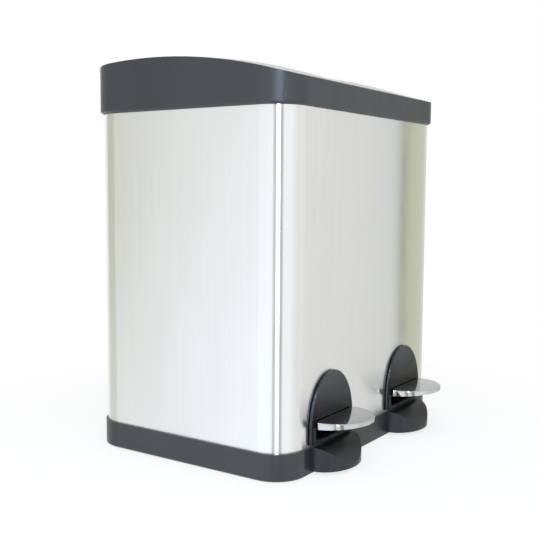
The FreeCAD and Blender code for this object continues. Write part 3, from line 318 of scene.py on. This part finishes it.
nodeFinish = {
    "steel_sleeve": "brushedSleeveSteel",
    "base_moulding": "basePlastic",
    "rubber_feet": "footRubber",
    "collar": "collarPlastic",
    "lid_buffers": "footRubber",
    "lever_rests": "footRubber",
    "guide_screws": "screwSteel",
    "surround_screws": "screwSteel",
    "collar_screws": "screwSteel",
    "lid_panel": "brushedLidSteel",
    "lid_liner": "linerPlastic",
    "lid_hinge_pin": "pinSteel",
    "bucket": "bucketPlastic",
    "bail": "bailWire",
    "bail_grip": "gripPlastic",
    "pedal_surround": "surroundPlastic",
    "pedal_plate": "polishedPedalSteel",
    "pedal_lever": "galvanisedStrap",
    "lever_axle": "pinSteel",
    "axle_clips": "clipSteel",
    "push_rod": "pushRodSteel",
    "rod_shoe": "guidePlastic",
    "rod_cap": "guidePlastic",
    "lower_rod_guide": "guidePlastic",
    "upper_rod_guide": "guidePlastic",
}


def plainName(name):
    return name.replace("_left", "").replace("_right", "")


def finishOf(name):
    return finishes[nodeFinish[plainName(name)]]


for name, node in nodes.items():
    node.data.materials.clear()
    node.data.materials.append(finishOf(name))
print("nodes dressed:", len(nodes))

bodies = frame["record"]["behaviour"]["bodies"]
bodyOf = {node: body for body, held in bodies.items() for node in held}
axes = {"X": Vector((1, 0, 0)), "Y": Vector((0, 1, 0)), "Z": Vector((0, 0, 1))}

# how far each moulding's or sheet's edges are rounded over
softened = {
    "collar": 0.0006,
    "base_moulding": 0.0008,
    "pedal_surround": 0.0005,
    "pedal_plate": 0.0003,
    "pedal_lever": 0.0004,
    "lid_panel": 0.00015,
    "lid_liner": 0.0003,
    "bucket": 0.0004,
    "lever_rests": 0.0004,
    "lower_rod_guide": 0.0003,
    "upper_rod_guide": 0.0003,
    "axle_clips": 0.0002,
}

# the toes' tops meet their walls at a shallow angle, and that crease shows
toeCrease = math.radians(14)
# edges are rounded over from this much above the crease angle
bevelFrom = math.radians(3)

# corners closer than this are one, and faces flatter than this to each other are joined
clean = {"corners": 0.00001, "flat": math.radians(0.5)}


def pickOnly(thing):
    bpy.ops.object.select_all(action="DESELECT")
    bpy.context.view_layer.objects.active = thing
    thing.select_set(True)


def standFor(piece, name):
    # the piece takes the node's finish and its place, and moves with its body
    piece.data.materials.clear()
    piece.data.materials.append(finishOf(name))
    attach(piece, bodyOf[name])
    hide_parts(name)


def mergedCopy(name):
    # the node's own mesh as a clean new piece: doubled corners merged, loose triangles joined into faces
    node = nodes[name]
    pickOnly(node)
    bpy.ops.object.duplicate()
    piece = bpy.context.object
    piece.parent = None
    piece.matrix_world = node.matrix_world
    piece.name = name + "_finished"
    bpy.ops.object.mode_set(mode="EDIT")
    bpy.ops.mesh.select_all(action="SELECT")
    bpy.ops.mesh.remove_doubles(threshold=clean["corners"])
    bpy.ops.mesh.dissolve_limited(angle_limit=clean["flat"])
    bpy.ops.object.mode_set(mode="OBJECT")
    return piece


def applyModifier(piece, kind, **settings):
    modifier = piece.modifiers.new("shaping", kind)
    for key, value in settings.items():
        setattr(modifier, key, value)
    pickOnly(piece)
    bpy.ops.object.modifier_apply(modifier=modifier.name)


def cutAcross(piece, y):
    # a line of new edges round the piece, so that the finish can change there
    pickOnly(piece)
    bpy.ops.object.mode_set(mode="EDIT")
    bpy.ops.mesh.select_all(action="SELECT")
    bpy.ops.mesh.bisect(plane_co=(0, y, 0), plane_no=(0, 1, 0))
    bpy.ops.object.mode_set(mode="OBJECT")


def soften(name, width):
    # a moulding's edges are never knife sharp
    piece = mergedCopy(name)
    if plainName(name) == "pedal_surround":
        cutAcross(piece, paintedShadowFront)
    crease = toeCrease if name == "base_moulding" else smoothBelow
    bpy.ops.object.shade_smooth_by_angle(angle=crease)
    settings = {"width": width, "segments": 2, "limit_method": "ANGLE", "harden_normals": True}
    applyModifier(piece, "BEVEL", angle_limit=crease + bevelFrom, **settings)
    standFor(piece, name)
    return piece


# a surround's flank keeps the dark plastic and ends in a strip of painted shadow while its dished face
# carries painted sheen, and a toe's top and walls carry painted shade
furtherFinishes = {
    "pedal_surround": [
        ("surroundRimPlastic", lambda face: abs(face.normal.y) < surround["flank"]),
        ("gasketRubber", lambda face: face.center.y > paintedShadowFront),
    ],
    "base_moulding": [
        ("toeWallPlastic", lambda face: face.center.y < toeRoot),
        ("toePlastic", lambda face: face.center.y < toeRoot and face.normal.z > toe["topSlope"]),
    ],
}


def addFinishes(piece, choices):
    for finish, chosen in choices:
        piece.data.materials.append(finishes[finish])
        for face in piece.data.polygons:
            if chosen(face):
                face.material_index = len(piece.data.materials) - 1


for name in nodes:
    if plainName(name) in softened:
        piece = soften(name, softened[plainName(name)])
        addFinishes(piece, furtherFinishes.get(plainName(name), []))
print("edges softened on", len(softened), "kinds of piece")


# steps round, the seed that is drawn out, and the distance below which corners are one
lathe = {"steps": 40, "seed": 0.001, "weld": 0.000002}


def turned(name, middle, axis, profile, steps=lathe["steps"]):
    # the profile's points are (distance along the axis, radius), drawn in turn and spun round the axis
    along, across = axes[axis], axes["Z" if axis != "Z" else "X"]
    bpy.ops.object.select_all(action="DESELECT")
    bpy.ops.mesh.primitive_plane_add(size=lathe["seed"], location=(0, 0, 0))
    piece = bpy.context.object
    piece.name = name
    bpy.ops.object.mode_set(mode="EDIT")
    bpy.ops.mesh.merge(type="CENTER")
    points = [along * distance + across * radius for distance, radius in profile]
    bpy.ops.transform.translate(value=points[0])
    for before, after in zip(points, points[1:]):
        bpy.ops.mesh.extrude_vertices_move(TRANSFORM_OT_translate={"value": after - before})
    bpy.ops.mesh.select_all(action="SELECT")
    bpy.ops.mesh.spin(steps=steps, angle=2 * math.pi, center=(0, 0, 0), axis=along)
    bpy.ops.mesh.select_all(action="SELECT")
    bpy.ops.mesh.remove_doubles(threshold=lathe["weld"])
    bpy.ops.mesh.normals_make_consistent(inside=False)
    bpy.ops.object.mode_set(mode="OBJECT")
    piece.location = middle
    pickOnly(piece)
    bpy.ops.object.transform_apply(location=True, rotation=False, scale=False)
    bpy.ops.object.shade_smooth_by_angle(angle=smoothBelow)
    return piece


def islandBoxes(name):
    # the lowest and highest corner of every separate solid in a node
    mergedCopy(name)
    bpy.ops.object.mode_set(mode="EDIT")
    bpy.ops.mesh.separate(type="LOOSE")
    bpy.ops.object.mode_set(mode="OBJECT")
    boxes = []
    for part in list(bpy.context.selected_objects):
        spots = [vertex.co for vertex in part.data.vertices]
        low = Vector(min(spot[i] for spot in spots) for i in range(3))
        high = Vector(max(spot[i] for spot in spots) for i in range(3))
        boxes.append((low, high))
    bpy.ops.object.delete()
    return sorted(boxes, key=lambda box: tuple(box[0]))


def joined(pieces, name):
    bpy.ops.object.select_all(action="DESELECT")
    for piece in pieces:
        piece.select_set(True)
    bpy.context.view_layer.objects.active = pieces[0]
    bpy.ops.object.join()
    pieces[0].name = name
    return pieces[0]


def bar(half, radius, chamfer):
    # a plain round bar with chamfered ends
    return [
        (-half, 0), (-half, radius - chamfer), (chamfer - half, radius),
        (half - chamfer, radius), (half, radius - chamfer), (half, 0),
    ]


# the axis of each and its chamfer
pins = {"lid_hinge_pin": ("X", 0.0004), "lever_axle": ("X", 0.0005), "push_rod": ("Z", 0.0005)}
for side in sides:
    for kind, (axis, chamfer) in pins.items():
        name = f"{kind}_{side}"
        low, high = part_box(name)
        span = (high - low).dot(axes[axis])
        thick = (high - low).dot(axes["Y"])
        profile = bar(span / 2, thick / 2, chamfer)
        standFor(turned(name + "_turned", (low + high) / 2, axis, profile), name)
print("pins, axles and push rods turned")

grip = {
    "ribs": 22,
    "depth": 0.0006,
    "endRound": 0.0012,
    "shoulder": 0.002,
    "bore": 0.002,
    # share of the pitch, and whether the profile is down there
    "ribShape": ((0.0, 0), (0.18, 1), (0.42, 1), (0.60, 0)),
}


def ribbedGrip(name):
    low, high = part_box(name)
    half, radius = (high.x - low.x) / 2, (high.z - low.z) / 2
    soft, bore = grip["endRound"], grip["bore"]
    start = soft + grip["shoulder"]
    pitch = 2 * (half - start) / grip["ribs"]
    profile = [(-half, bore), (-half, radius - soft), (soft - half, radius)]
    for rib in range(grip["ribs"]):
        left = start - half + rib * pitch
        for share, down in grip["ribShape"]:
            profile.append((left + share * pitch, radius - down * grip["depth"]))
    profile += [(half - soft, radius), (half, radius - soft), (half, bore)]
    return turned(name + "_ribbed", (low + high) / 2, "X", profile + profile[:1])


for side in sides:
    standFor(ribbedGrip(f"bail_grip_{side}"), f"bail_grip_{side}")
print("grips ribbed")

ends = {
    "round": 0.0009,
    # share of the rounding that is left halfway round it
    "easing": 0.3,
    "bore": 0.003,
    "waist": 0.0004,
    # where the waist starts, is deepest and ends, as shares of the height
    "waistAt": (0.45, 0.5, 0.55),
    "floor": {"rod_shoe": 0.003, "rod_cap": 0.004},
}


def rodEnd(kind, name):
    # a cup pressed over the rod's end, its closed side down on the shoe and up on the cap
    low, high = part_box(name)
    tall, radius = high.z - low.z, (high.x - low.x) / 2
    soft, bore, floor = ends["round"], ends["bore"], ends["floor"][kind]
    easing = ends["easing"] * soft
    first, deepest, last = (share * tall for share in ends["waistAt"])
    profile = [
        (0, 0), (0, radius - soft), (easing, radius - easing), (soft, radius),
        (first, radius), (deepest, radius - ends["waist"]), (last, radius),
        (tall - soft / 2, radius), (tall, radius - soft / 2), (tall, bore), (floor, bore), (floor, 0),
    ]
    middle = Vector(((low.x + high.x) / 2, (low.y + high.y) / 2, low.z))
    if kind == "rod_cap":
        middle.z = high.z
        profile = [(-distance, reach) for distance, reach in profile]
    return turned(name + "_turned", middle, "Z", profile)


for side in sides:
    for kind in ends["floor"]:
        standFor(rodEnd(kind, f"{kind}_{side}"), f"{kind}_{side}")
print("rod ends turned")

foot = {
    "rings": (0.0036, 0.0062),
    "groove": 0.0007,
    "edge": 0.0006,
    # outwards from a ring, and whether the profile is in the groove there
    "ringShape": ((0, 0), (0.0003, 1), (0.0009, 1), (0.0012, 0)),
}
# each point of the dome: share of its drop, share of the radius
buffer = {"dome": 0.0008, "shape": ((1, 1), (0.3, 0.8), (0, 0.4), (0, 0))}


def grooved(low, high):
    radius, tall = (high.x - low.x) / 2, high.z - low.z
    profile = [(0, 0)]
    for ring in foot["rings"]:
        profile += [(deep * foot["groove"], ring + out) for out, deep in foot["ringShape"]]
    profile += [(0, radius - foot["edge"]), (foot["edge"], radius), (tall, radius), (tall, 0)]
    return profile


def domed(low, high):
    radius, tall = (high.x - low.x) / 2, high.z - low.z
    dome = [(tall - drop * buffer["dome"], share * radius) for drop, share in buffer["shape"]]
    return [(0, 0), (0, radius)] + dome


for name, shape in (("rubber_feet", grooved), ("lid_buffers", domed)):
    pads = []
    for low, high in islandBoxes(name):
        middle = Vector(((low.x + high.x) / 2, (low.y + high.y) / 2, low.z))
        pads.append(turned("pad", middle, "Z", shape(low, high)))
    standFor(joined(pads, name + "_turned"), name)
print("rubber feet and lid buffers turned")

screw = {
    "head": 0.002,
    "headRadius": 0.0032,
    "shank": 0.0015,
    # the taper of the tip, as a share of the shank's radius
    "tip": 0.6,
    "cross": (0.0007, 0.0036),
    "crossDepth": 0.0011,
    # how far the cutter stands out of the head
    "clear": 0.0002,
    # share of the head's height, share of its radius
    "headShape": ((0, 1), (0.45, 1), (0.78, 0.9), (0.94, 0.7), (1, 0.4), (1, 0)),
    "steps": 28,
}


def crossHeadScrew(length):
    # a pan-head screw along Y, its head's seat at the origin and its head towards +Y
    head, wide, shank = screw["head"], screw["headRadius"], screw["shank"]
    tip = screw["tip"] * shank
    profile = [(-length, 0), (-length, tip), (tip - length, shank), (0, shank)]
    profile += [(tall * head, share * wide) for tall, share in screw["headShape"]]
    piece = turned("screw", Vector((0, 0, 0)), "Y", profile, screw["steps"])
    narrow, long = screw["cross"]
    deep, clear = screw["crossDepth"], screw["clear"]
    slots = []
    for angle in (0, math.pi / 2):
        place = (0, head - deep / 2 + clear, 0)
        bpy.ops.mesh.primitive_cube_add(size=1, location=place, rotation=(0, angle, 0))
        slot = bpy.context.object
        slot.scale = (long, deep + 2 * clear, narrow)
        bpy.ops.object.transform_apply(location=True, rotation=True, scale=True)
        slots.append(slot)
    for slot in slots:
        applyModifier(piece, "BOOLEAN", object=slot, operation="DIFFERENCE", solver="EXACT")
    for slot in slots:
        bpy.data.objects.remove(slot)
    pickOnly(piece)
    bpy.ops.object.shade_smooth_by_angle(angle=smoothBelow)
    return piece


def placeScrews(name, axis, sign):
    # the heads face along the axis, or against it where the sign is -1
    boxes = islandBoxes(name)
    span = (boxes[0][1] - boxes[0][0]).dot(axes[axis])
    pattern = crossHeadScrew(span - screw["head"])
    turn = {"Y": 0, "X": -math.pi / 2}[axis] * sign
    index = "XYZ".index(axis)
    copies = []
    for low, high in boxes:
        seat = (low + high) / 2
        outer = high if sign > 0 else low
        seat[index] = outer[index] - sign * screw["head"]
        pickOnly(pattern)
        bpy.ops.object.duplicate()
        copy = bpy.context.object
        copy.rotation_euler = (0, 0, turn)
        copy.location = seat
        bpy.ops.object.transform_apply(location=True, rotation=True, scale=False)
        copies.append(copy)
    bpy.data.objects.remove(pattern)
    standFor(joined(copies, name + "_crosshead"), name)


placeScrews("guide_screws", "Y", 1)
placeScrews("surround_screws", "Y", 1)
placeScrews("collar_screws_left", "X", 1)
placeScrews("collar_screws_right", "X", -1)
print("screws cut")

studio = {
    "floorSize": 14,
    "floorColour": (0.94, 0.94, 0.94),
    "floorRough": 0.7,
    # how much of the bin's shadow shows, and from where to where it fades out
    "shadowShare": 0.24,
    "shadowReach": (0.26, 0.56),
    "worldFill": 0.55,
    "aim": Vector((0, 0, 0.24)),
}


def addFloor():
    bpy.ops.mesh.primitive_plane_add(size=studio["floorSize"], location=(0, 0, 0))
    floor = bpy.context.object
    floor.name = "studioFloor"
    finish = Finish("paleFloor", studio["floorColour"], studio["floorRough"])
    rays = finish.add("ShaderNodeLightPath")
    seen = rays.outputs["Is Camera Ray"]
    for kind in ("Is Glossy Ray", "Is Transmission Ray"):
        seen = finish.maths("MAXIMUM", seen, rays.outputs[kind])
    # the floor shades itself only under and round the bin
    distance = finish.add("ShaderNodeVectorMath")
    distance.operation = "LENGTH"
    finish.link(finish.place, distance.inputs[0])
    white = finish.ramp(distance.outputs["Value"], 1 - studio["shadowShare"], 1.0, *studio["shadowReach"])
    glow = finish.add("ShaderNodeEmission", Strength=1.0).outputs[0]
    finish.surface(finish.mixShaders(finish.maths("MULTIPLY", seen, white), finish.shader.outputs[0], glow))
    floor.data.materials.append(finish.material)
    floor.visible_glossy = False


# what the steel mirrors round the horizon, in degrees from the front towards the right:
# middle, half width, softness, and the colour there
mirrored = {
    "leftGlow": (-114, 8, 20, (1.09, 1.12, 1.13)),
    "rearKhaki": (-162, 16, 24, (0.70, 0.70, 0.60)),
    "frontGlow": (-45, 36, 30, (1.16, 1.19, 1.21)),
    "cornerShadowNear": (-65, 3, 3.5, (0.58, 0.59, 0.55)),
    "cornerShadowFar": (-42, 3.5, 3.5, (0.48, 0.49, 0.48)),
    "rightWall": (100, 30, 16, (0.78, 0.79, 0.78)),
}

# the ground to the left, which the lower half of the left wall mirrors:
# its tint, the height of the ray where it starts and is full, and the same in degrees
ground = {"tint": (1.22, 1.26, 1.37), "height": (0.02, -0.22), "degrees": (-60, -100)}

# a warm patch at eye height, which the left wall mirrors near its far edge
patch = {"tint": (0.80, 0.77, 0.62), "middle": -0.02, "height": (0.11, 0.03), "degrees": (-131.5, -135)}


def lightWorld():
    world = bpy.data.worlds.new("studioWorld")
    bpy.context.scene.world = world
    sky = NodeTree(world)
    rays = sky.add("ShaderNodeLightPath")

    def rise(source, start, end, low=0, high=1):
        return sky.ramp(source, low, high, start, end, "SMOOTHSTEP")

    # white where it is seen, and an even fill light
    plain = sky.tree.nodes["Background"]
    plain.inputs["Color"].default_value = (1, 1, 1, 1)
    seen = sky.maths("MAXIMUM", rays.outputs["Is Camera Ray"], rays.outputs["Is Transmission Ray"])
    sky.link(rise(seen, 0, 1, studio["worldFill"], 1.0), plain.inputs["Strength"])

    heading = sky.add("ShaderNodeSeparateXYZ")
    sky.link(sky.add("ShaderNodeTexCoord").outputs["Generated"], heading.inputs[0])
    frontward = sky.maths("MULTIPLY", heading.outputs["Y"], -1.0)
    azimuth = sky.maths("DEGREES", sky.maths("ARCTAN2", heading.outputs["X"], frontward))
    height = heading.outputs["Z"]

    colour = (1, 1, 1)
    for middle, half, soft, tone in mirrored.values():
        offset = sky.maths("ABSOLUTE", sky.maths("SUBTRACT", azimuth, middle))
        colour = sky.mix(rise(offset, half + soft, half), colour, tone)
    share = sky.maths("MULTIPLY", rise(height, *ground["height"]), rise(azimuth, *ground["degrees"]))
    colour = sky.mix(share, colour, ground["tint"], "MULTIPLY")
    offset = sky.maths("ABSOLUTE", sky.maths("SUBTRACT", height, patch["middle"]))
    share = sky.maths("MULTIPLY", rise(offset, *patch["height"]), rise(azimuth, *patch["degrees"]))
    colour = sky.mix(share, colour, patch["tint"], "MULTIPLY")

    cards = sky.add("ShaderNodeBackground")
    sky.link(colour, cards.inputs["Color"])
    either = sky.mixShaders(rays.outputs["Is Glossy Ray"], plain.outputs[0], cards.outputs[0])
    sky.link(either, sky.tree.nodes["World Output"].inputs["Surface"])


# a warm board that stands close to the right of the front, seen only as the steel mirrors it
board = {
    "start": (0.254, -0.200),
    "width": 0.17,
    "height": (-0.4, 1.3),
    # the dark edge fades out between these distances from the start, and the khaki from "fades" on
    "edge": (0.0108, 0.018),
    "fades": 0.03,
    "edgeColour": (0.08, 0.09, 0.07),
    "khaki": (0.62, 0.63, 0.46),
    "faded": (0.84, 0.85, 0.80),
    "rough": 0.9,
}


def addBoard():
    x, y = board["start"]
    low, high = board["height"]
    middle = Vector((x + board["width"] / 2, y, (low + high) / 2))
    bpy.ops.mesh.primitive_plane_add(size=1, location=middle, rotation=(math.pi / 2, 0, 0))
    card = bpy.context.object
    card.name = "warmBoard"
    card.scale = (board["width"], high - low, 1)
    bpy.ops.object.transform_apply(location=True, rotation=True, scale=True)
    finish = Finish("warmCard", board["khaki"], board["rough"])
    split = finish.add("ShaderNodeSeparateXYZ")
    finish.link(finish.place, split.inputs[0])
    along = split.outputs["X"]
    fading = finish.ramp(along, 0, 1, x + board["fades"], x + board["width"])
    colour = finish.mix(fading, board["khaki"], board["faded"])
    dark, clear = board["edge"]
    colour = finish.mix(finish.ramp(along, 1, 0, x + dark, x + clear), colour, board["edgeColour"])
    glow = finish.add("ShaderNodeEmission", Strength=1.0)
    finish.link(colour, glow.inputs["Color"])
    finish.surface(glow.outputs[0])
    card.data.materials.append(finish.material)
    card.visible_camera = False
    card.visible_diffuse = False
    card.visible_shadow = False


# place, width and height, power, tint, and whether the steel mirrors it
softboxes = {
    "keySoftbox": (Vector((-1.2, -1.4, 2.4)), (2.2, 2.2), 34, (1.0, 1.0, 1.0), False),
    "leftSoftbox": (Vector((-2.6, 0.9, 1.6)), (2.2, 2.2), 16, (0.96, 0.98, 1.0), False),
    "cornerStrip": (Vector((-1.33, -0.97, 0.75)), (0.14, 1.7), 17, (0.62, 0.80, 1.0), True),
}


def addSoftbox(name, place, size, power, tint, shows):
    bpy.ops.object.light_add(type="AREA", location=place)
    lamp = bpy.context.object
    lamp.name = name
    lamp.data.shape = "RECTANGLE"
    lamp.data.size, lamp.data.size_y = size
    lamp.data.energy = power
    lamp.data.color = tint
    lamp.rotation_mode = "QUATERNION"
    lamp.rotation_quaternion = (studio["aim"] - place).to_track_quat("-Z", "Y")
    lamp.visible_glossy = shows


addFloor()
lightWorld()
addBoard()
for name, settings in softboxes.items():
    addSoftbox(name, *settings)
bpy.context.scene.view_settings.view_transform = "Standard"
print("stage and softboxes placed")
